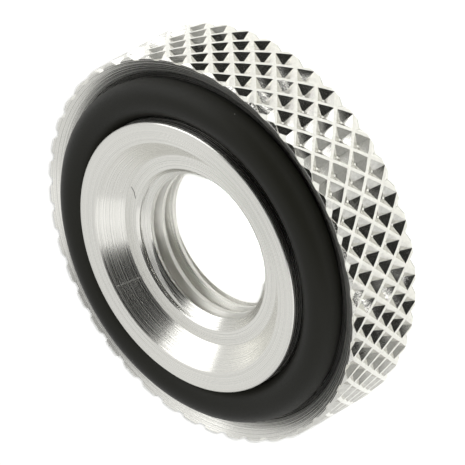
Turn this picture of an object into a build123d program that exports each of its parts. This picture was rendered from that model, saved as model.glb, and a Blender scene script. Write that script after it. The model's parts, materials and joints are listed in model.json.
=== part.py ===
from build123d import *
import math
import os

# A knurled thumb nut: a turned and knurled aluminium body with a rubber O-ring round
# its boss. Millimetres, +Z up along the thread. The origin is the middle of the back
# face, on which the nut stands, and the boss with the countersunk hole looks up.

# Body
rim_diameter = 23.5  # over the crests of the knurl
nut_height = 6.4  # back face to boss face
boss_diameter = 16.4
edge_bevel = 0.15  # 45 degree bevel on both edges of the rim and the mouth of the recess
boss_bevel = 0.06  # 45 degree bevel on the edge of the boss face

# Hole, from the boss face down
countersink_diameter = 14.0
countersink_angle = 90.0  # included
countersink_depth = 1.2
lead_in_diameter = 9.9  # 45 degree chamfer at the start of the thread
bore_diameter = 8.7  # crests of the internal G 1/8 thread
recess_diameter = 16.0  # counterbore in the back face
recess_depth = 2.2

# O-ring and its groove round the boss
ring_section = 2.2
ring_sink = 0.08  # top of the ring below the boss face
ring_clearance = 0.02  # ring to boss wall, groove floor and groove slope
groove_angle = 30.0  # rise of the slope from the groove floor to the rim

# Knurl: rows of square pits that stand on their corners
knurl_pitch = 1.2  # between neighbouring ridges, rounded to whole pits round the rim
knurl_angle = 90.0  # included, between opposite sides of a pit
ridge_width = 0.18  # flat left on the crests
knurl_lead = 0.2  # front edge of the rim to the middle of the first row
knurl_overcut = 0.05  # how far the cutter stands out past the crests

RIGHT_ANGLE = 90.0
FRONT = -RIGHT_ANGLE  # direction of -Y, where the first row has a pit
RING_FLATS = 24  # round the ring's section


def tangent(degrees):
    """Tangent of an angle in degrees."""
    return math.tan(math.radians(degrees))


rim_radius = rim_diameter / 2
boss_radius = boss_diameter / 2
bore_radius = bore_diameter / 2
recess_radius = recess_diameter / 2
countersink_radius = countersink_diameter / 2
lead_in_radius = lead_in_diameter / 2

# The countersink ends on a flat ledge round the thread's lead-in chamfer.
ledge_radius = countersink_radius - countersink_depth * tangent(countersink_angle / 2)
ledge_height = nut_height - countersink_depth
thread_start_height = ledge_height - (lead_in_radius - bore_radius)

# The ring sits against the boss, on the groove floor, just under the boss face.
seat_radius = ring_section / 2 + ring_clearance
ring_radius = boss_radius + seat_radius
ring_height = nut_height - ring_sink - ring_section / 2
floor_height = ring_height - seat_radius

# The groove's slope passes the ring at the same clearance and ends at the rim's bevel.
floor_outer_radius = ring_radius + seat_radius * tangent(groove_angle / 2)
rim_front_radius = rim_radius - edge_bevel
rim_front_height = floor_height + (rim_front_radius - floor_outer_radius) * tangent(groove_angle)

# Knurl: as many whole pits round the rim as the pitch allows, at 45 degrees.
pits_round = round(math.pi * rim_diameter / (knurl_pitch * math.sqrt(2)))
pit_spacing = math.pi * rim_diameter / pits_round
row_step = pit_spacing / 2
pit_side = pit_spacing / math.sqrt(2) - ridge_width
pit_reach = pit_side / math.sqrt(2)
pit_depth = pit_side / 2 / tangent(knurl_angle / 2)


def rim_section(radius, height):
    """The rim's outline at a height: a flat for each half pitch, with a corner over each pit.

    The flats stay within a hundredth of a millimetre of the circle, and give every pit
    four flat sides with straight edges.
    """
    return Pos(0, 0, height) * Rot(0, 0, FRONT) * RegularPolygon(radius, 2 * pits_round)


def rim_blank():
    """The rim before it is knurled: bevelled at both edges, and sloped down to the ring."""
    crest_height = rim_front_height - edge_bevel
    back_bevel = loft([rim_section(rim_front_radius, 0), rim_section(rim_radius, edge_bevel)])
    band = extrude(rim_section(rim_radius, edge_bevel), crest_height - edge_bevel)
    front_bevel = loft(
        [
            rim_section(rim_radius, crest_height),
            rim_section(rim_front_radius, rim_front_height),
        ]
    )
    groove = loft(
        [
            rim_section(floor_outer_radius, floor_height),
            rim_section(rim_front_radius, rim_front_height),
        ]
    )
    return back_bevel + band + front_bevel - groove


def knurl_pit():
    """One tooth of the knurling tool: a pyramid on +X that points at the axis."""
    mouth_side = pit_side + 2 * knurl_overcut * tangent(knurl_angle / 2)
    mouth_place = Pos(rim_radius + knurl_overcut, 0, 0) * Rot(0, RIGHT_ANGLE, 0)
    mouth = mouth_place * Rot(0, 0, RIGHT_ANGLE / 2) * Rectangle(mouth_side, mouth_side)
    return loft([mouth.face(), Vertex(rim_radius - pit_depth, 0, 0)])


def knurl_pits():
    """Every pit of the knurl, with the rows that the rim's back edge cuts through."""
    tooth = knurl_pit()
    turn = 360 / pits_round
    first_row_height = rim_front_height - knurl_lead
    rows = math.ceil((first_row_height + pit_reach) / row_step)
    pits = []
    for row in range(rows):
        row_shift = turn / 2 * (row % 2)
        row_place = Pos(0, 0, first_row_height - row * row_step)
        for column in range(pits_round):
            pits.append(row_place * Rot(0, 0, FRONT + row_shift + column * turn) * tooth)
    return pits


def boss():
    """The boss before it is bored, with a bevel on the edge of its face."""
    edge_height = nut_height - boss_bevel
    outline = [
        (0, 0),
        (boss_radius, 0),
        (boss_radius, edge_height),
        (boss_radius - boss_bevel, nut_height),
        (0, nut_height),
    ]
    return revolve(make_face(Plane.XZ * Polyline(*outline, close=True)), axis=Axis.Z)


def hole():
    """What the boring tools take out, from the recess in the back up to the countersink."""
    outline = [
        (0, 0),
        (recess_radius + edge_bevel, 0),
        (recess_radius, edge_bevel),
        (recess_radius, recess_depth),
        (bore_radius, recess_depth),
        (bore_radius, thread_start_height),
        (lead_in_radius, ledge_height),
        (ledge_radius, ledge_height),
        (countersink_radius, nut_height),
        (0, nut_height),
    ]
    return revolve(make_face(Plane.XZ * Polyline(*outline, close=True)), axis=Axis.Z)


def nut_body():
    """The knurled body, cut from one bar."""
    return rim_blank() - knurl_pits() + boss() - hole()


def o_ring():
    """The ring in the groove. Its round section has flats, within a hundredth of a millimetre."""
    section = Pos(ring_radius, ring_height) * RegularPolygon(ring_section / 2, RING_FLATS)
    return revolve(Plane.XZ * section, axis=Axis.Z)


os.makedirs("parts", exist_ok=True)
export_step(nut_body(), "parts/nut_body.step")
export_step(o_ring(), "parts/o_ring.step")
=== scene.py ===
import json
import math

import bmesh
import bpy
from bpy.props import FloatProperty, FloatVectorProperty, IntProperty, PointerProperty
from bpy.types import Operator, Panel, PropertyGroup
from mathutils import Matrix, Vector


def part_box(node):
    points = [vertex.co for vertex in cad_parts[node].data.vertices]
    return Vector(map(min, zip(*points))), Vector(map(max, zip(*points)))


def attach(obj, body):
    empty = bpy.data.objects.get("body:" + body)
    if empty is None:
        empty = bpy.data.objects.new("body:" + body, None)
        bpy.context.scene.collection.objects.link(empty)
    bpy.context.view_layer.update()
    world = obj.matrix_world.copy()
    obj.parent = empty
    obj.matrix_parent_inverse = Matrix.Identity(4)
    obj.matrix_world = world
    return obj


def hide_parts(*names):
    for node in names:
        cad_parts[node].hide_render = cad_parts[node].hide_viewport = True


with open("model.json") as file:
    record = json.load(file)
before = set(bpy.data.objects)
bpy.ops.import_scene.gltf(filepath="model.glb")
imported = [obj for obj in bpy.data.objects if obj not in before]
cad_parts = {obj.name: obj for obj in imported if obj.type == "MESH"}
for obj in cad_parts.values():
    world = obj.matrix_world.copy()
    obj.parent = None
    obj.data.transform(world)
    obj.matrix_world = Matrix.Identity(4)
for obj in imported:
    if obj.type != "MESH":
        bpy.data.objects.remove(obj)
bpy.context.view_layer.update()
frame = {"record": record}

bl_info = {
    "name": "Knurled thumb nut",
    "version": (1, 0, 0),
    "blender": (4, 5, 0),
    "location": "3D View > Sidebar > Thumb nut",
    "description": "Finishes a turned and knurled thumb nut and its rubber ring",
    "category": "Add Mesh",
}

# What the frame gives, in metres
BODY_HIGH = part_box("nut_body")[1]
RING_LOW, RING_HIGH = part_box("o_ring")
THREAD_MOUNT = next(m for m in frame["record"]["mounts"] if m["name"] == "thread")

MM = 0.001
RIM_RADIUS = BODY_HIGH.x
NUT_HEIGHT = BODY_HIGH.z
RING_SECTION = RING_HIGH.z - RING_LOW.z
RING_RADIUS = RING_HIGH.y - RING_SECTION / 2
RING_HEIGHT = (RING_HIGH.z + RING_LOW.z) / 2
BORE_RADIUS = THREAD_MOUNT["dims"]["r_mm"] * MM
BORE_LENGTH = THREAD_MOUNT["dims"]["length_mm"] * MM
BORE_MIDDLE = THREAD_MOUNT["pos_m"][2]
BORE_TOP = BORE_MIDDLE + BORE_LENGTH / 2
BORE_BOTTOM = BORE_MIDDLE - BORE_LENGTH / 2

FRONT = -math.pi / 2  # direction of -Y, which a pit of the knurl's first row faces


# Sizes and colours that a user would change

LENGTH = {"unit": "LENGTH", "precision": 5}  # how a length is shown


class NutSizes(PropertyGroup):
    """Sizes of the turned body."""

    groove_angle: FloatProperty(
        name="Groove slope",
        description="Rise of the slope from the groove floor to the rim",
        default=math.radians(30),
        unit="ROTATION",
    )
    ring_clearance: FloatProperty(
        name="Ring clearance",
        description="From the ring to the boss, the groove floor and the slope",
        default=0.02 * MM,
        **LENGTH,
    )
    countersink_radius: FloatProperty(
        name="Countersink radius",
        description="Where the countersink meets the boss face",
        default=7.0 * MM,
        **LENGTH,
    )
    countersink_depth: FloatProperty(
        name="Countersink depth",
        description="From the boss face to the ledge round the thread",
        default=1.2 * MM,
        **LENGTH,
    )
    recess_radius: FloatProperty(
        name="Recess radius",
        description="Counterbore in the back face",
        default=8.0 * MM,
        **LENGTH,
    )
    edge_bevel: FloatProperty(
        name="Edge bevel",
        description="Bevel on both edges of the rim and the mouth of the recess",
        default=0.15 * MM,
        **LENGTH,
    )
    boss_bevel: FloatProperty(
        name="Boss bevel",
        description="Bevel on the outer edge of the boss face",
        default=0.06 * MM,
        **LENGTH,
    )
    edge_round: FloatProperty(
        name="Edge round",
        description="Radius that the lathe tool's nose and deburring leave on the edges",
        default=0.04 * MM,
        **LENGTH,
    )


class KnurlSizes(PropertyGroup):
    """Sizes of the diamond knurl round the rim."""

    pitch: FloatProperty(
        name="Pitch",
        description="Between neighbouring ridges, rounded to whole pits round the rim",
        default=1.2 * MM,
        **LENGTH,
    )
    ridge_width: FloatProperty(
        name="Ridge width",
        description="Flat left on the crests",
        default=0.18 * MM,
        **LENGTH,
    )
    ridge_round: FloatProperty(
        name="Ridge round",
        description="Radius along the edges of the crests",
        default=0.05 * MM,
        **LENGTH,
    )
    tip_width: FloatProperty(
        name="Tip width",
        description="Flat that the blunt teeth of the knurling wheel leave at the bottom of a pit",
        default=0.12 * MM,
        **LENGTH,
    )
    pit_depth: FloatProperty(
        name="Pit depth",
        description="From the crests to the bottom of a pit",
        default=0.44 * MM,
        **LENGTH,
    )
    lead: FloatProperty(
        name="Lead",
        description="Front edge of the rim to the middle of the first row",
        default=0.2 * MM,
        **LENGTH,
    )
    first_row_depth: FloatProperty(
        name="First row depth",
        description="Depth of the blunt pits that the rim's front edge leaves in the first row",
        default=0.29 * MM,
        **LENGTH,
    )
    first_row_spread: FloatProperty(
        name="First row spread",
        description="How much wider the pits of the first row are, because their edge gives way",
        default=1.15,
    )
    unevenness: FloatProperty(
        name="Unevenness",
        description="How far single teeth of the knurling wheel press deeper or less deep",
        default=0.008 * MM,
        unit="LENGTH",
        precision=6,
    )
    seed: IntProperty(
        name="Seed",
        description="Seed of the unevenness",
        default=4,
    )


class ThreadSizes(PropertyGroup):
    """Sizes of the internal G 1/8 thread."""

    pitch: FloatProperty(
        name="Pitch",
        description="One turn's advance, 28 turns to the inch",
        default=0.907 * MM,
        **LENGTH,
    )
    root_radius: FloatProperty(
        name="Root radius",
        description="Half the thread's major diameter",
        default=4.864 * MM,
        **LENGTH,
    )
    flank_angle: FloatProperty(
        name="Thread angle",
        description="Included angle between two flanks",
        default=math.radians(55),
        unit="ROTATION",
    )
    start: FloatProperty(
        name="Start",
        description="Direction in which the thread starts, counted from +X",
        default=math.radians(40),
        unit="ROTATION",
    )


def linear(hex_colour):
    """A linear colour from its sRGB hex value."""
    values = [int(hex_colour[i : i + 2], 16) / 255 for i in (0, 2, 4)]
    return tuple(v / 12.92 if v <= 0.04045 else ((v + 0.055) / 1.055) ** 2.4 for v in values)


class NutFinishes(PropertyGroup):
    """Colours of the materials, as they look in daylight."""

    aluminium: FloatVectorProperty(
        name="Aluminium",
        description="Bright bare aluminium",
        subtype="COLOR",
        size=3,
        default=linear("E4E3DD"),
        min=0,
        max=1,
    )
    rubber: FloatVectorProperty(
        name="Rubber",
        description="Black nitrile rubber",
        subtype="COLOR",
        size=3,
        default=linear("10100C"),
        min=0,
        max=1,
    )
    dust: FloatVectorProperty(
        name="Dust",
        description="Specks of dust on the rubber",
        subtype="COLOR",
        size=3,
        default=linear("9A9A94"),
        min=0,
        max=1,
    )


class StudioSettings(PropertyGroup):
    """The camera's place and its field of view."""

    elevation: FloatProperty(
        name="Elevation",
        description="Camera above the floor",
        default=math.radians(39.13),
        unit="ROTATION",
    )
    roll: FloatProperty(
        name="Roll",
        description="Camera turned about its own line of sight",
        default=math.radians(-119.09),
        unit="ROTATION",
    )
    aim_right: FloatProperty(
        name="Aim right",
        description="Middle of the picture, to the right of the middle of the rim's front",
        default=1.843 * MM,
        **LENGTH,
    )
    aim_up: FloatProperty(
        name="Aim up",
        description="Middle of the picture, above the middle of the rim's front",
        default=1.02 * MM,
        **LENGTH,
    )
    field: FloatProperty(
        name="Field",
        description="Width of the picture at the nut",
        default=26.15 * MM,
        **LENGTH,
    )
    distance: FloatProperty(
        name="Distance",
        description="Camera from the nut",
        default=580 * MM,
        **LENGTH,
    )


# Small helpers

MATH = "ShaderNodeMath"
VECTOR_MATH = "ShaderNodeVectorMath"
SAME_POINT = 0.00001 * MM  # points nearer than this are merged
EDGE_STEPS = 3  # flats in a rounded edge


def add_node(tree, kind, settings=None, inputs=None):
    """Adds a node. An input takes a value, an output, or a node, whose first output it takes."""
    node = tree.nodes.new(kind)
    for name, value in (settings or {}).items():
        setattr(node, name, value)
    for name, value in (inputs or {}).items():
        if isinstance(value, bpy.types.Node):
            value = value.outputs[0]
        if isinstance(value, bpy.types.NodeSocket):
            tree.links.new(value, node.inputs[name])
        else:
            node.inputs[name].default_value = value
    return node


def mesh_object(name, verts, faces):
    """A linked object with this mesh."""
    mesh = bpy.data.meshes.new(name)
    mesh.from_pydata(verts, [], faces)
    obj = bpy.data.objects.new(name, mesh)
    bpy.context.scene.collection.objects.link(obj)
    return obj


def discard(obj):
    """Removes a helper object and its mesh."""
    mesh = obj.data
    bpy.data.objects.remove(obj)
    bpy.data.meshes.remove(mesh)


def outward(obj):
    """Points a closed mesh's faces outwards."""
    work = bmesh.new()
    work.from_mesh(obj.data)
    bmesh.ops.remove_doubles(work, verts=work.verts, dist=SAME_POINT)
    bmesh.ops.recalc_face_normals(work, faces=work.faces)
    work.to_mesh(obj.data)
    work.free()


def joined_sections(sections, closed):
    """Faces between sections that follow each other, whose points are numbered in turn."""
    faces = []
    count = len(sections[0])
    last = len(sections) if closed else len(sections) - 1
    for step in range(last):
        here, there = step * count, (step + 1) % len(sections) * count
        for i in range(count):
            j = (i + 1) % count
            faces.append((here + i, there + i, there + j, here + j))
    return faces


def swept_round(name, outline, segments):
    """An object with a closed outline of (radius, height) turned about Z."""
    sections = []
    for step in range(segments):
        angle = FRONT + 2 * math.pi * step / segments
        sections.append([(r * math.cos(angle), r * math.sin(angle), z) for r, z in outline])
    obj = mesh_object(name, sum(sections, []), joined_sections(sections, closed=True))
    outward(obj)
    return obj


def rounded(corners, radius):
    """A closed outline with an arc of this radius at every corner."""
    outline = []
    for i, corner in enumerate(corners):
        here = Vector(corner)
        back = (Vector(corners[i - 1]) - here).normalized()
        ahead = (Vector(corners[(i + 1) % len(corners)]) - here).normalized()
        half = back.angle(ahead) / 2
        middle = here + (back + ahead).normalized() * (radius / math.sin(half))
        start = here + back * (radius / math.tan(half)) - middle
        sweep = start.angle_signed(here + ahead * (radius / math.tan(half)) - middle)
        for step in range(EDGE_STEPS + 1):
            turn = Matrix.Rotation(-sweep * step / EDGE_STEPS, 2)
            outline.append(tuple(middle + turn @ start))
    return outline


# The body

SEGMENTS_PER_PIT = 8  # round the blank
THREAD_SEGMENTS = 120  # in one turn
ROOT_SHARE = 1 / 6  # width of the thread's root, of its pitch, before its corners are cut
OVERCUT = 0.05 * MM  # how far a tool stands out of the blank
SHARP = math.radians(24)  # faces that meet at more than this keep a sharp edge
PIT_MARGIN = 1.1  # of the pits' depth, in which a face counts as knurled
FACING_OUT = 0.2  # cosine from the outward direction, above which it does


def knurl_layout(knurl):
    """Pits round the rim, the way between them, and the side of a pit between its ridges."""
    pits = round(2 * math.pi * RIM_RADIUS / (knurl.pitch * math.sqrt(2)))
    spacing = 2 * math.pi * RIM_RADIUS / pits
    side = spacing / math.sqrt(2) - knurl.ridge_width
    return pits, spacing, side


def rim_front_height(sizes):
    """Height of the rim's front edge, where the groove's slope runs out."""
    seat = RING_SECTION / 2 + sizes.ring_clearance
    run = RIM_RADIUS - sizes.edge_bevel - RING_RADIUS - seat * math.tan(sizes.groove_angle / 2)
    return RING_HEIGHT - seat + run * math.tan(sizes.groove_angle)


def body_outline(sizes):
    """The turned body's section, from the back face round the rim to the hole."""
    seat = RING_SECTION / 2 + sizes.ring_clearance
    boss_radius = RING_RADIUS - seat
    floor_height = RING_HEIGHT - seat
    floor_outer_radius = RING_RADIUS + seat * math.tan(sizes.groove_angle / 2)
    front_height = rim_front_height(sizes)
    ledge_radius = sizes.countersink_radius - sizes.countersink_depth
    ledge_height = NUT_HEIGHT - sizes.countersink_depth
    corners = [
        (sizes.recess_radius + sizes.edge_bevel, 0),
        (RIM_RADIUS - sizes.edge_bevel, 0),
        (RIM_RADIUS, sizes.edge_bevel),
        (RIM_RADIUS, front_height - sizes.edge_bevel),
        (RIM_RADIUS - sizes.edge_bevel, front_height),
        (floor_outer_radius, floor_height),
        (boss_radius, floor_height),
        (boss_radius, NUT_HEIGHT - sizes.boss_bevel),
        (boss_radius - sizes.boss_bevel, NUT_HEIGHT),
        (sizes.countersink_radius, NUT_HEIGHT),
        (ledge_radius, ledge_height),
        (BORE_RADIUS + ledge_height - BORE_TOP, ledge_height),
        (BORE_RADIUS, BORE_TOP),
        (BORE_RADIUS, BORE_BOTTOM),
        (sizes.recess_radius, BORE_BOTTOM),
        (sizes.recess_radius, sizes.edge_bevel),
    ]
    return rounded(corners, sizes.edge_round)


def knurl_tooth(name, knurl, depth, spread=1.0):
    """One tooth of the knurling wheel: a blunt four-sided point on +X, flared at the crest."""
    side = knurl_layout(knurl)[2]
    flare = knurl.ridge_round * math.tan(math.pi / 8)
    levels = [(OVERCUT, side / 2 + flare + OVERCUT / 2)]
    for step in range(EDGE_STEPS + 1):
        turn = math.pi / 4 * step / EDGE_STEPS
        reach = side / 2 + flare - knurl.ridge_round * math.sin(turn)
        levels.append((knurl.ridge_round * (math.cos(turn) - 1), reach))
    share = depth / knurl.pit_depth
    levels.append((-depth, side / 2 * (1 - share) + knurl.tip_width / 2 * share))
    sections = []
    for height, reach in levels:
        corner = reach * math.sqrt(2)
        wide = corner * spread
        sections.append(
            [(height, wide, 0), (height, 0, corner), (height, -wide, 0), (height, 0, -corner)]
        )
    last = 4 * (len(sections) - 1)
    faces = [(0, 1, 2, 3), *joined_sections(sections, closed=False)]
    faces.append((last, last + 1, last + 2, last + 3))
    tooth = mesh_object(name, sum(sections, []), faces)
    outward(tooth)
    return tooth


def thread_cutter(thread):
    """The thread's groove as a solid: one tooth form led up a right-hand helix."""
    inner_radius = BORE_RADIUS - OVERCUT
    flank_run = (thread.root_radius - inner_radius) * math.tan(thread.flank_angle / 2)
    root_half = thread.pitch * ROOT_SHARE / 2
    corner = root_half / 2
    form = [
        (inner_radius, -root_half - flank_run),
        (thread.root_radius - corner, -root_half - corner / 2),
        (thread.root_radius, -corner),
        (thread.root_radius, corner),
        (thread.root_radius - corner, root_half + corner / 2),
        (inner_radius, root_half + flank_run),
    ]
    # The helix runs out past both ends of the bore.
    bottom = BORE_BOTTOM - thread.pitch
    top = NUT_HEIGHT - thread.pitch / 2
    turns = (top - bottom) / thread.pitch
    steps = round(turns * THREAD_SEGMENTS)
    sections = []
    for step in range(steps + 1):
        angle = thread.start + 2 * math.pi * turns * step / steps
        rise = bottom + (top - bottom) * step / steps
        sections.append([(r * math.cos(angle), r * math.sin(angle), rise + z) for r, z in form])
    faces = joined_sections(sections, closed=False)
    count = len(form)
    faces.append(tuple(range(count)))
    faces.append(tuple(steps * count + i for i in reversed(range(count))))
    cutter = mesh_object("thread_cutter", sum(sections, []), faces)
    outward(cutter)
    return cutter


def cutting_tools(tree, given):
    """Adds the thread's cutter, and a tooth at every pit: columns round the rim, row by row."""
    index = add_node(tree, "GeometryNodeInputIndex")
    pit_middle = add_node(tree, MATH, {"operation": "ADD"}, {0: index, 1: 0.5})
    rounds = add_node(tree, MATH, {"operation": "DIVIDE"}, {0: pit_middle, 1: given["Pits round"]})
    row = add_node(tree, MATH, {"operation": "FLOOR"}, {0: rounds})
    odd_row = add_node(tree, MATH, {"operation": "MODULO"}, {0: row, 1: 2})
    shift = add_node(tree, MATH, {"operation": "MULTIPLY"}, {0: odd_row, 1: 0.5})
    column = add_node(tree, MATH, {"operation": "ADD"}, {0: index, 1: shift})
    turn = add_node(tree, MATH, {"operation": "DIVIDE"}, {0: 2 * math.pi, 1: given["Pits round"]})
    from_front = add_node(tree, MATH, {"operation": "MULTIPLY"}, {0: column, 1: turn})
    angle = add_node(tree, MATH, {"operation": "ADD"}, {0: from_front, 1: FRONT})
    drop = add_node(tree, MATH, {"operation": "MULTIPLY"}, {0: row, 1: given["Row step"]})
    height = add_node(tree, MATH, {"operation": "SUBTRACT"}, {0: given["First row"], 1: drop})

    # Single teeth press deeper or less deep.
    deepest = add_node(tree, MATH, {"operation": "MULTIPLY"}, {0: given["Unevenness"], 1: -1})
    uneven = add_node(
        tree,
        "FunctionNodeRandomValue",
        {"data_type": "FLOAT"},
        {2: deepest, 3: given["Unevenness"], "Seed": given["Seed"]},
    ).outputs[1]
    radius = add_node(tree, MATH, {"operation": "ADD"}, {0: given["Rim radius"], 1: uneven})
    cosine = add_node(tree, MATH, {"operation": "COSINE"}, {0: angle})
    sine = add_node(tree, MATH, {"operation": "SINE"}, {0: angle})
    place = add_node(
        tree,
        "ShaderNodeCombineXYZ",
        inputs={
            "X": add_node(tree, MATH, {"operation": "MULTIPLY"}, {0: radius, 1: cosine}),
            "Y": add_node(tree, MATH, {"operation": "MULTIPLY"}, {0: radius, 1: sine}),
            "Z": height,
        },
    )
    facing = add_node(tree, "ShaderNodeCombineXYZ", inputs={"Z": angle})
    rotation = add_node(tree, "FunctionNodeEulerToRotation", inputs={"Euler": facing})
    total = add_node(
        tree, MATH, {"operation": "MULTIPLY"}, {0: given["Pits round"], 1: given["Rows"]}
    )
    points = add_node(tree, "GeometryNodePoints", inputs={"Count": total, "Position": place})

    tools = add_node(tree, "GeometryNodeJoinGeometry")
    cutter = add_node(tree, "GeometryNodeObjectInfo", inputs={"Object": given["Thread cutter"]})
    tree.links.new(cutter.outputs["Geometry"], tools.inputs[0])
    first_row = add_node(tree, MATH, {"operation": "LESS_THAN"}, {0: row, 1: 0.5})
    other_rows = add_node(tree, MATH, {"operation": "SUBTRACT"}, {0: 1, 1: first_row})
    for name, rows in (("Edge tooth", first_row), ("Tooth", other_rows)):
        tooth = add_node(tree, "GeometryNodeObjectInfo", inputs={"Object": given[name]})
        teeth = add_node(
            tree,
            "GeometryNodeInstanceOnPoints",
            inputs={
                "Points": points,
                "Selection": rows,
                "Instance": tooth.outputs["Geometry"],
                "Rotation": rotation,
            },
        )
        tree.links.new(teeth.outputs[0], tools.inputs[0])
    return add_node(tree, "GeometryNodeRealizeInstances", inputs={"Geometry": tools})


def knurled_faces(tree, given):
    """Picks the faces that lie within the pits' depth of the rim and look away from the axis."""
    position = add_node(tree, "GeometryNodeInputPosition")
    from_axis = add_node(tree, VECTOR_MATH, {"operation": "MULTIPLY"}, {0: position, 1: (1, 1, 0)})
    radius = add_node(tree, VECTOR_MATH, {"operation": "LENGTH"}, {0: from_axis}).outputs["Value"]
    outwards = add_node(tree, VECTOR_MATH, {"operation": "NORMALIZE"}, {0: from_axis})
    normal = add_node(tree, "GeometryNodeInputNormal")
    looks = add_node(
        tree, VECTOR_MATH, {"operation": "DOT_PRODUCT"}, {0: normal, 1: outwards}
    ).outputs["Value"]
    depth = add_node(tree, MATH, {"operation": "MULTIPLY"}, {0: given["Pit depth"], 1: PIT_MARGIN})
    reach = add_node(tree, MATH, {"operation": "SUBTRACT"}, {0: given["Rim radius"], 1: depth})
    in_rim = add_node(tree, MATH, {"operation": "GREATER_THAN"}, {0: radius, 1: reach})
    faces_out = add_node(tree, MATH, {"operation": "GREATER_THAN"}, {0: looks, 1: FACING_OUT})
    return add_node(tree, MATH, {"operation": "MULTIPLY"}, {0: in_rim, 1: faces_out})


def machining_tree():
    """Node tree that presses the knurl's pits into the blank and cuts its thread."""
    tree = bpy.data.node_groups.new("machining", "GeometryNodeTree")
    tree.is_modifier = True
    inputs = {
        "Blank": "NodeSocketGeometry",
        "Tooth": "NodeSocketObject",
        "Edge tooth": "NodeSocketObject",
        "Thread cutter": "NodeSocketObject",
        "Rim radius": "NodeSocketFloat",
        "Pits round": "NodeSocketInt",
        "Rows": "NodeSocketInt",
        "Row step": "NodeSocketFloat",
        "First row": "NodeSocketFloat",
        "Unevenness": "NodeSocketFloat",
        "Pit depth": "NodeSocketFloat",
        "Seed": "NodeSocketInt",
        "Turned": "NodeSocketMaterial",
        "Knurled": "NodeSocketMaterial",
    }
    identifiers = {}
    for name, kind in inputs.items():
        socket = tree.interface.new_socket(name=name, in_out="INPUT", socket_type=kind)
        identifiers[name] = socket.identifier
    tree.interface.new_socket(name="Body", in_out="OUTPUT", socket_type="NodeSocketGeometry")
    given = add_node(tree, "NodeGroupInput").outputs
    cut = add_node(
        tree,
        "GeometryNodeMeshBoolean",
        {"operation": "DIFFERENCE", "solver": "MANIFOLD"},
        {"Mesh 1": given["Blank"], "Mesh 2": cutting_tools(tree, given)},
    )
    body = add_node(tree, "GeometryNodeRealizeInstances", inputs={"Geometry": cut})
    turned = add_node(
        tree, "GeometryNodeSetMaterial", inputs={"Geometry": body, "Material": given["Turned"]}
    )
    knurled = add_node(
        tree,
        "GeometryNodeSetMaterial",
        inputs={
            "Geometry": turned,
            "Selection": knurled_faces(tree, given),
            "Material": given["Knurled"],
        },
    )
    add_node(tree, "NodeGroupOutput", inputs={0: knurled})
    return tree, identifiers


def shade_by_angle(mesh, limit):
    """Smooth shading with a sharp edge wherever two faces meet at more than the limit."""
    work = bmesh.new()
    work.from_mesh(mesh)
    for face in work.faces:
        face.smooth = True
    for edge in work.edges:
        edge.smooth = edge.calc_face_angle(math.pi) < limit
    work.to_mesh(mesh)
    work.free()


def turn_normals(mesh, material):
    """Gives the faces of this material the shading of a surface turned about Z."""
    normals = [Vector(corner.vector) for corner in mesh.corner_normals]
    for face in mesh.polygons:
        if face.material_index != material:
            continue
        tilt = Vector(face.normal.xy).length * math.copysign(1, face.normal.xy.dot(face.center.xy))
        for corner in face.loop_indices:
            outwards = mesh.vertices[mesh.loops[corner].vertex_index].co.xy.normalized()
            normals[corner] = Vector((*(outwards * tilt), face.normal.z))
    mesh.normals_split_custom_set(normals)


def machined_body(sizes, knurl, thread):
    """The finished body: turned blank, knurled rim and threaded hole, as one closed mesh."""
    pits, spacing, side = knurl_layout(knurl)
    row_step = spacing / 2
    pit_reach = side / math.sqrt(2)
    first_row = rim_front_height(sizes) - knurl.lead
    blank = swept_round("nut_blank", body_outline(sizes), pits * SEGMENTS_PER_PIT)
    tools = {
        "Tooth": knurl_tooth("knurl_tooth", knurl, knurl.pit_depth),
        "Edge tooth": knurl_tooth(
            "edge_tooth", knurl, knurl.first_row_depth, knurl.first_row_spread
        ),
        "Thread cutter": thread_cutter(thread),
    }
    values = {
        **tools,
        "Rim radius": RIM_RADIUS,
        "Pits round": pits,
        "Rows": math.ceil((first_row + pit_reach) / row_step),
        "Row step": row_step,
        "First row": first_row,
        "Unevenness": knurl.unevenness,
        "Pit depth": knurl.pit_depth,
        "Seed": knurl.seed,
        "Turned": turned_aluminium(),
        "Knurled": knurled_aluminium(),
    }
    machining = blank.modifiers.new("machining", "NODES")
    machining.node_group, identifiers = machining_tree()
    for name, value in values.items():
        machining[identifiers[name]] = value
    evaluated = blank.evaluated_get(bpy.context.evaluated_depsgraph_get())
    mesh = bpy.data.meshes.new_from_object(evaluated)
    mesh.name = "nut_body_finish"
    shade_by_angle(mesh, SHARP)
    turn_normals(mesh, mesh.materials.find("turned_aluminium"))
    body = bpy.data.objects.new("nut_body_finish", mesh)
    bpy.context.scene.collection.objects.link(body)
    for helper in (blank, *tools.values()):
        discard(helper)
    return body


# The ring

RING_ROUND_SEGMENTS = 256
RING_SECTION_SEGMENTS = 40


def rubber_ring():
    """The moulded ring, round in section."""
    section = []
    for step in range(RING_SECTION_SEGMENTS):
        angle = 2 * math.pi * step / RING_SECTION_SEGMENTS
        radius = RING_RADIUS + RING_SECTION / 2 * math.cos(angle)
        section.append((radius, RING_HEIGHT + RING_SECTION / 2 * math.sin(angle)))
    ring = swept_round("o_ring_finish", section, RING_ROUND_SEGMENTS)
    ring.data.materials.append(nitrile_rubber())
    ring.data.polygons.foreach_set("use_smooth", [True] * len(ring.data.polygons))
    return ring


# Materials

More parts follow.
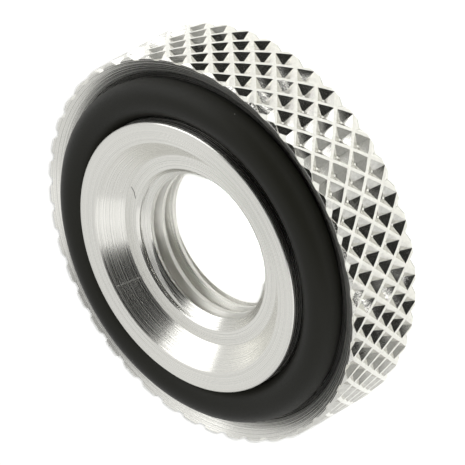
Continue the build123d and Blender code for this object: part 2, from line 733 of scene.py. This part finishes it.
# Spacings are in real millimetres. The tool's lines, the scratches on the knurl and the
# grain of the rubber are finer on a real nut, and too fine to show. They are drawn as coarse
# as they need to show.
TURNING_LINES = 0.15 * MM  # between the lathe tool's lines
TURNING_BANDS = 0.45 * MM  # between the brighter and duller bands of them
TOOL_FEED = 0.1 * MM  # between single turns of the tool, some of which are duller
STREAKS = 0.06 * MM  # between the scratches that the flanks of the knurling wheel leave
MOTTLE = 3 * STREAKS  # between the brighter and duller patches of a facet
RUBBER_GRAIN = 0.07 * MM
TORN_EDGE = 0.25 * MM  # how far the burrs reach from the front edge
BURR_SIZE = 0.12 * MM
DUST_SPACING = 1.3 * MM
DUST_SIZE = 0.022 * MM  # radius of a speck

# Heights of the bumps
LINE_DEPTH = 0.007 * MM
STREAK_DEPTH = 0.0015 * MM
BURR_HEIGHT = 0.04 * MM
GRAIN_DEPTH = 0.002 * MM

# What the bulk of a noise texture's values is turned into
NOISE_RANGE = {"From Min": 0.3, "From Max": 0.7}
# Lighter and darker rings of the tool's lines in the colour: partly burnished metal, partly
# painted shade of the grooves
LINE_SHADE_AND_BURNISH = {"To Min": 0.93, "To Max": 1.02}
BAND_ROUGHNESS = {"To Min": 0.17, "To Max": 0.21}
FEED_ROUGHNESS = {"To Min": 0.0, "To Max": 0.16}  # on top of the bands'
FACET_BRIGHTNESS = {"To Min": 0.8, "To Max": 0.94}
FACET_ROUGHNESS = {"To Min": 0.2, "To Max": 0.1}
RUBBER_ROUGHNESS = {"To Min": 0.42, "To Max": 0.58}

# Handling marks on the turned faces, as (x, y) seen from above
NICK = ((5.0 * MM, 2.64 * MM), (4.7 * MM, 2.64 * MM), (4.36 * MM, 2.81 * MM))
NICK_WIDTH = 0.1 * MM
# Painted shade of the nick: the share by which the colour is darkened along it
NICK_PAINTED_SHADE = 0.65  # of the brightness
HAIRLINE = ((0.5 * MM, 6.81 * MM), (0.31 * MM, 5.75 * MM))
HAIRLINE_WIDTH = 0.1 * MM
HAIRLINE_DULLS = 0.16  # added roughness
THREAD_DULLS = 0.08  # added roughness on the flanks that the tap has cut


def new_material(name):
    """An empty node material, and its object coordinates."""
    material = bpy.data.materials.new(name)
    material.use_nodes = True
    tree = material.node_tree
    tree.nodes.clear()
    coordinates = add_node(tree, "ShaderNodeTexCoord")
    return material, tree, coordinates.outputs["Object"]


def finish_material(tree, inputs):
    """Adds the surface shader and the output."""
    shader = add_node(tree, "ShaderNodeBsdfPrincipled", inputs=inputs)
    add_node(tree, "ShaderNodeOutputMaterial", inputs={"Surface": shader})


def scratch(tree, from_axis, start, end, width):
    """One where a scratch runs from start to end, seen from above, and 0 elsewhere."""
    run = Vector((*end, 0)) - Vector((*start, 0))
    offset = add_node(tree, VECTOR_MATH, {"operation": "SUBTRACT"}, {0: from_axis, 1: (*start, 0)})
    along = add_node(
        tree,
        VECTOR_MATH,
        {"operation": "DOT_PRODUCT"},
        {0: offset, 1: run / run.length_squared},
    ).outputs["Value"]
    share = add_node(tree, "ShaderNodeClamp", inputs={"Value": along, "Min": 0.0, "Max": 1.0})
    nearest = add_node(tree, VECTOR_MATH, {"operation": "SCALE"}, {0: run, "Scale": share})
    away = add_node(
        tree, VECTOR_MATH, {"operation": "DISTANCE"}, {0: offset, 1: nearest}
    ).outputs["Value"]
    fade = {"From Min": width / 2, "From Max": width / 4, "To Min": 0.0, "To Max": 1.0}
    return add_node(tree, "ShaderNodeMapRange", inputs={"Value": away, **fade})


def turned_aluminium():
    """Bare aluminium, faced on a lathe: fine rings round the axis that stretch each highlight."""
    material, tree, place = new_material("turned_aluminium")
    height = add_node(tree, "ShaderNodeSeparateXYZ", inputs={0: place}).outputs["Z"]
    from_axis = add_node(tree, VECTOR_MATH, {"operation": "MULTIPLY"}, {0: place, 1: (1, 1, 0)})
    radius = add_node(tree, VECTOR_MATH, {"operation": "LENGTH"}, {0: from_axis}).outputs["Value"]

    # The tool's lines follow each other outwards on a face and upwards on a wall.
    along = add_node(tree, MATH, {"operation": "ADD"}, {0: radius, 1: height})
    lines, bands, feed = (
        add_node(
            tree,
            "ShaderNodeTexNoise",
            {"noise_dimensions": "1D"},
            {"W": along, "Scale": 1 / spacing, "Detail": detail, "Roughness": 0.6},
        )
        for spacing, detail in ((TURNING_LINES, 3.0), (TURNING_BANDS, 1.0), (TOOL_FEED, 0.0))
    )
    bump = add_node(
        tree, "ShaderNodeBump", inputs={"Height": lines, "Distance": LINE_DEPTH, "Strength": 1.0}
    )
    tangent = add_node(tree, "ShaderNodeTangent", {"direction_type": "RADIAL", "axis": "Z"})

    # The nick shows as a dark line of painted shade: the colour is darkened where it runs, and no
    # groove is cut.
    painted_nick_shade = add_node(
        tree,
        MATH,
        {"operation": "MAXIMUM"},
        {
            0: scratch(tree, from_axis, NICK[0], NICK[1], NICK_WIDTH),
            1: scratch(tree, from_axis, NICK[1], NICK[2], NICK_WIDTH),
        },
    )
    # The rings in the colour are partly burnish and partly painted shade of the tool's grooves.
    rings_shade_and_burnish = add_node(
        tree, "ShaderNodeMapRange", inputs={"Value": lines, **NOISE_RANGE, **LINE_SHADE_AND_BURNISH}
    )
    brightness = add_node(
        tree, MATH, {"operation": "MULTIPLY_ADD"}, {0: painted_nick_shade, 1: -NICK_PAINTED_SHADE, 2: rings_shade_and_burnish}
    )
    colour = add_node(
        tree,
        VECTOR_MATH,
        {"operation": "SCALE"},
        {0: tuple(bpy.context.scene.nut_finishes.aluminium), "Scale": brightness},
    )

    # The thread and the hairline are duller than the faces round them.
    dull_bands = add_node(
        tree, "ShaderNodeMapRange", inputs={"Value": bands, **NOISE_RANGE, **BAND_ROUGHNESS}
    )
    dull_lines = add_node(
        tree, "ShaderNodeMapRange", inputs={"Value": feed, **NOISE_RANGE, **FEED_ROUGHNESS}
    )
    roughness = add_node(tree, MATH, {"operation": "ADD"}, {0: dull_bands, 1: dull_lines})
    root_radius = bpy.context.scene.nut_thread.root_radius
    in_bore = add_node(tree, MATH, {"operation": "LESS_THAN"}, {0: radius, 1: root_radius})
    below_mouth = add_node(tree, MATH, {"operation": "LESS_THAN"}, {0: height, 1: BORE_TOP})
    tapped = add_node(tree, MATH, {"operation": "MULTIPLY"}, {0: in_bore, 1: below_mouth})
    hairline = scratch(tree, from_axis, *HAIRLINE, HAIRLINE_WIDTH)
    for patch, added in ((tapped, THREAD_DULLS), (hairline, HAIRLINE_DULLS)):
        roughness = add_node(
            tree, MATH, {"operation": "MULTIPLY_ADD"}, {0: patch, 1: added, 2: roughness}
        )
    finish_material(
        tree,
        {
            "Base Color": colour,
            "Metallic": 1.0,
            "Roughness": roughness,
            "Anisotropic": 0.9,
            "Anisotropic Rotation": 0.25,
            "Normal": bump,
            "Tangent": tangent,
        },
    )
    return material


def knurled_aluminium():
    """Bare aluminium, cold pressed by the knurling wheel: bright facets with fine scratches."""
    material, tree, place = new_material("knurled_aluminium")
    x, y, z = add_node(tree, "ShaderNodeSeparateXYZ", inputs={0: place}).outputs
    angle = add_node(tree, MATH, {"operation": "ARCTAN2"}, {0: y, 1: x})
    around = add_node(tree, MATH, {"operation": "MULTIPLY"}, {0: angle, 1: RIM_RADIUS})
    unrolled = add_node(tree, "ShaderNodeCombineXYZ", inputs={"X": around, "Y": z})

    # The scratches run along the ridges, so they follow each other up and down a facet.
    normal = add_node(tree, "ShaderNodeNewGeometry").outputs["True Normal"]
    upward = add_node(tree, "ShaderNodeSeparateXYZ", inputs={0: normal}).outputs["Z"]
    from_axis = add_node(tree, VECTOR_MATH, {"operation": "MULTIPLY"}, {0: place, 1: (1, 1, 0)})
    tangent = add_node(
        tree, VECTOR_MATH, {"operation": "CROSS_PRODUCT"}, {0: (0, 0, 1), 1: from_axis}
    )
    unit = add_node(tree, VECTOR_MATH, {"operation": "NORMALIZE"}, {0: tangent})
    sideways = add_node(
        tree, VECTOR_MATH, {"operation": "DOT_PRODUCT"}, {0: normal, 1: unit}
    ).outputs["Value"]
    slope = add_node(tree, "ShaderNodeCombineXYZ", inputs={"X": sideways, "Y": upward})
    downhill = add_node(tree, VECTOR_MATH, {"operation": "NORMALIZE"}, {0: slope})
    along = add_node(
        tree, VECTOR_MATH, {"operation": "DOT_PRODUCT"}, {0: unrolled, 1: downhill}
    ).outputs["Value"]
    streaks = add_node(
        tree,
        "ShaderNodeTexNoise",
        {"noise_dimensions": "1D"},
        {"W": along, "Scale": 1 / STREAKS, "Detail": 2.0, "Roughness": 0.6},
    )
    scratches = add_node(
        tree,
        "ShaderNodeBump",
        inputs={"Height": streaks, "Distance": STREAK_DEPTH, "Strength": 1.0},
    )

    # Along the front edge the wheel tears the metal into small burrs.
    edge = rim_front_height(bpy.context.scene.nut_sizes)
    rise = {"From Min": edge - TORN_EDGE, "From Max": edge, "To Min": 0.0, "To Max": 1.0}
    torn = add_node(tree, "ShaderNodeMapRange", inputs={"Value": z, **rise})
    burrs = add_node(
        tree,
        "ShaderNodeTexNoise",
        {"noise_dimensions": "3D"},
        {"Vector": place, "Scale": 1 / BURR_SIZE, "Detail": 2.0},
    )
    burr_height = add_node(tree, MATH, {"operation": "MULTIPLY"}, {0: torn, 1: burrs})
    bump = add_node(
        tree,
        "ShaderNodeBump",
        inputs={
            "Height": burr_height,
            "Distance": BURR_HEIGHT,
            "Strength": 1.0,
            "Normal": scratches,
        },
    )

    # Patches of a facet that the wheel pressed harder are brighter and smoother.
    mottle = add_node(
        tree,
        "ShaderNodeTexNoise",
        {"noise_dimensions": "3D"},
        {"Vector": place, "Scale": 1 / MOTTLE, "Detail": 3.0},
    )
    brightness = add_node(
        tree, "ShaderNodeMapRange", inputs={"Value": mottle, **NOISE_RANGE, **FACET_BRIGHTNESS}
    )
    roughness = add_node(
        tree, "ShaderNodeMapRange", inputs={"Value": mottle, **NOISE_RANGE, **FACET_ROUGHNESS}
    )
    colour = add_node(
        tree,
        VECTOR_MATH,
        {"operation": "SCALE"},
        {0: tuple(bpy.context.scene.nut_finishes.aluminium), "Scale": brightness},
    )
    finish_material(
        tree,
        {"Base Color": colour, "Metallic": 1.0, "Roughness": roughness, "Normal": bump},
    )
    return material


def nitrile_rubber():
    """Moulded nitrile rubber: near black, satin, with a fine grain and a little dust on it."""
    material, tree, place = new_material("nitrile_rubber")
    grain = add_node(
        tree,
        "ShaderNodeTexNoise",
        {"noise_dimensions": "3D"},
        {"Vector": place, "Scale": 1 / RUBBER_GRAIN, "Detail": 2.0},
    )
    bump = add_node(
        tree, "ShaderNodeBump", inputs={"Height": grain, "Distance": GRAIN_DEPTH, "Strength": 1.0}
    )
    roughness = add_node(
        tree, "ShaderNodeMapRange", inputs={"Value": grain, **NOISE_RANGE, **RUBBER_ROUGHNESS}
    )
    specks = add_node(
        tree,
        "ShaderNodeTexVoronoi",
        {"voronoi_dimensions": "3D", "feature": "F1"},
        {"Vector": place, "Scale": 1 / DUST_SPACING, "Randomness": 1.0},
    ).outputs["Distance"]
    speck_radius = DUST_SIZE / DUST_SPACING
    dusty = add_node(tree, MATH, {"operation": "LESS_THAN"}, {0: specks, 1: speck_radius})
    finishes = bpy.context.scene.nut_finishes
    colour = add_node(
        tree,
        "ShaderNodeMix",
        {"data_type": "RGBA"},
        {"Factor": dusty, 6: (*finishes.rubber, 1), 7: (*finishes.dust, 1)},
    ).outputs[2]
    finish_material(
        tree,
        {
            "Base Color": colour,
            "Roughness": roughness,
            "Specular IOR Level": 0.22,
            "Normal": bump,
        },
    )
    return material


def plain_material(name, colour, roughness):
    """A matt surface of one colour, for the stage."""
    material, tree, _ = new_material(name)
    finish_material(
        tree, {"Base Color": (*colour, 1), "Roughness": roughness, "Specular IOR Level": 0.0}
    )
    return material


# The stage

FLOOR_HALF = 1.2
CARD_DISTANCE = 0.3
CARD_STEPS = 12
WORLD_LIGHT = 0.86  # what the metal mirrors where no card and no lamp stands


def on_sphere(azimuth, elevation, distance):
    """A place seen from the nut. Azimuth 0 is -Y and 90 degrees is +X."""
    a, e = math.radians(azimuth), math.radians(elevation)
    return Vector((math.sin(a) * math.cos(e), -math.cos(a) * math.cos(e), math.sin(e))) * distance


def soft_light(name, azimuth, elevation, distance, size, radiance, glossy=True):
    """A rectangular light that faces the nut, as bright as a surface of that radiance."""
    data = bpy.data.lights.new(name, "AREA")
    data.shape = "RECTANGLE"
    data.size, data.size_y = size
    data.energy = radiance * math.pi * size[0] * size[1]
    light = bpy.data.objects.new(name, data)
    light.location = on_sphere(azimuth, elevation, distance)
    light.rotation_mode = "QUATERNION"
    light.rotation_quaternion = light.location.to_track_quat("Z", "Y")
    light.visible_camera = False
    light.visible_glossy = glossy
    bpy.context.scene.collection.objects.link(light)


def snoot(name, height, cone, power):
    """A narrow beam straight down through the nut's hole, which whitens the floor in it."""
    data = bpy.data.lights.new(name, "SPOT")
    data.spot_size = cone
    data.spot_blend = 0.2
    data.shadow_soft_size = 0.001
    data.energy = power
    light = bpy.data.objects.new(name, data)
    light.location = (0, 0, height)
    light.visible_glossy = False
    bpy.context.scene.collection.objects.link(light)


def curved_card(name, azimuths, elevations, material):
    """A card bent round the nut that only shows in its reflections."""
    verts, faces = [], []
    for i in range(CARD_STEPS + 1):
        for j in range(CARD_STEPS + 1):
            azimuth = azimuths[0] + (azimuths[1] - azimuths[0]) * i / CARD_STEPS
            elevation = elevations[0] + (elevations[1] - elevations[0]) * j / CARD_STEPS
            verts.append(on_sphere(azimuth, elevation, CARD_DISTANCE))
    for i in range(CARD_STEPS):
        for j in range(CARD_STEPS):
            first = i * (CARD_STEPS + 1) + j
            faces.append((first, first + 1, first + CARD_STEPS + 2, first + CARD_STEPS + 1))
    card = mesh_object(name, verts, faces)
    card.data.materials.append(material)
    card.visible_camera = False
    card.visible_diffuse = False
    card.visible_shadow = False


def paper_floor():
    """A sheet of white paper that the nut lies on."""
    corners = ((-1, -1), (1, -1), (1, 1), (-1, 1))
    verts = [(x * FLOOR_HALF, y * FLOOR_HALF, 0) for x, y in corners]
    floor = mesh_object("floor", verts, [(0, 1, 2, 3)])
    floor.data.materials.append(plain_material("white_paper", linear("F4F4F2"), 0.9))


def studio_cards():
    """Black flags in front of the nut and grey cards beside them, which shape its glints."""
    black_cloth = plain_material("black_cloth", linear("2E2E2D"), 1.0)
    grey_cloth = plain_material("grey_cloth", linear("B6B6B4"), 1.0)
    curved_card("top_flag", (-50, 61), (30, 81), black_cloth)
    curved_card("front_flag", (-38, 48), (2, 30), black_cloth)
    curved_card("left_card", (-60, -38), (2, 30), grey_cloth)
    curved_card("right_card", (48, 70), (2, 30), grey_cloth)


def studio_lights():
    """Lamps that the metal mirrors, lamps that it doesn't, and an even white surrounding."""
    soft_light(
        "right_window", azimuth=90, elevation=26, distance=0.4, size=(0.3, 0.34), radiance=1.33
    )
    soft_light(
        "low_lamp", azimuth=-6, elevation=20, distance=0.28, size=(0.016, 0.016), radiance=4.5
    )
    soft_light(
        "left_panel", azimuth=-72, elevation=40, distance=0.4, size=(0.3, 0.4), radiance=0.3
    )
    soft_light(
        "overhead",
        azimuth=0,
        elevation=90,
        distance=0.5,
        size=(0.4, 0.4),
        radiance=1.2,
        glossy=False,
    )
    soft_light(
        "front_fill",
        azimuth=0,
        elevation=39,
        distance=0.55,
        size=(0.018, 0.018),
        radiance=4700.0,
        glossy=False,
    )
    snoot("hole_light", height=0.15, cone=math.radians(3.2), power=2.3)
    world = bpy.data.worlds.new("studio")
    world.use_nodes = True
    background = world.node_tree.nodes["Background"]
    background.inputs["Color"].default_value = (1, 1, 1, 1)
    background.inputs["Strength"].default_value = WORLD_LIGHT
    world.cycles_visibility.diffuse = False
    bpy.context.scene.world = world


def studio_camera(studio, sizes):
    """A long lens that looks down on the nut, turned about its line of sight."""
    back = on_sphere(0, math.degrees(studio.elevation), 1)
    upright = back.to_track_quat("Z", "Y").to_matrix()
    axes = upright @ Matrix.Rotation(studio.roll, 3, "Z")
    aim = Vector((0, 0, rim_front_height(sizes)))
    aim += axes @ Vector((studio.aim_right, studio.aim_up, 0))
    data = bpy.data.cameras.new("camera")
    data.sensor_width = 36
    data.lens = data.sensor_width * studio.distance / studio.field
    data.clip_start = RIM_RADIUS
    data.clip_end = studio.distance * 4
    camera = bpy.data.objects.new("camera", data)
    camera.matrix_world = Matrix.Translation(aim + back * studio.distance) @ axes.to_4x4()
    bpy.context.scene.collection.objects.link(camera)
    bpy.context.scene.camera = camera


# Operators

class NUT_OT_body(Operator):
    """Turns, knurls and threads the body"""

    bl_idname = "nut.body"
    bl_label = "Machine the body"

    def execute(self, context):
        scene = context.scene
        body = machined_body(scene.nut_sizes, scene.nut_knurl, scene.nut_thread)
        if len(body.data.polygons) == 0:
            raise RuntimeError("the body came out empty")
        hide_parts("nut_body")
        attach(body, "root")
        return {"FINISHED"}


class NUT_OT_ring(Operator):
    """Makes the rubber ring"""

    bl_idname = "nut.ring"
    bl_label = "Mould the ring"

    def execute(self, context):
        ring = rubber_ring()
        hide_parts("o_ring")
        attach(ring, "root")
        return {"FINISHED"}


class NUT_OT_stage(Operator):
    """Sets up the floor, the lights and the camera"""

    bl_idname = "nut.stage"
    bl_label = "Set the stage"

    def execute(self, context):
        scene = context.scene
        scene.view_settings.view_transform = "Standard"
        paper_floor()
        studio_cards()
        studio_lights()
        studio_camera(scene.nut_studio, scene.nut_sizes)
        return {"FINISHED"}


class NUT_PT_panel(Panel):
    """Lists the nut's pieces and the stage"""

    bl_idname = "NUT_PT_panel"
    bl_label = "Thumb nut"
    bl_space_type = "VIEW_3D"
    bl_region_type = "UI"
    bl_category = "Thumb nut"

    def draw(self, context):
        for scene_name in GROUPS:
            group = getattr(context.scene, scene_name)
            box = self.layout.box()
            for name in group.__annotations__:
                box.prop(group, name)
        for operator in (NUT_OT_body, NUT_OT_ring, NUT_OT_stage):
            self.layout.operator(operator.bl_idname)


GROUPS = {
    "nut_sizes": NutSizes,
    "nut_knurl": KnurlSizes,
    "nut_thread": ThreadSizes,
    "nut_finishes": NutFinishes,
    "nut_studio": StudioSettings,
}
OTHER_CLASSES = (NUT_OT_body, NUT_OT_ring, NUT_OT_stage, NUT_PT_panel)


def register():
    for name, group in GROUPS.items():
        bpy.utils.register_class(group)
        setattr(bpy.types.Scene, name, PointerProperty(type=group))
    for cls in OTHER_CLASSES:
        bpy.utils.register_class(cls)


def unregister():
    for cls in reversed(OTHER_CLASSES):
        bpy.utils.unregister_class(cls)
    for name, group in reversed(GROUPS.items()):
        delattr(bpy.types.Scene, name)
        bpy.utils.unregister_class(group)


def main():
    """Makes the nut and the stage."""
    register()
    bpy.ops.nut.stage()
    bpy.ops.nut.body()
    bpy.ops.nut.ring()


if __name__ == "__main__":
    main()
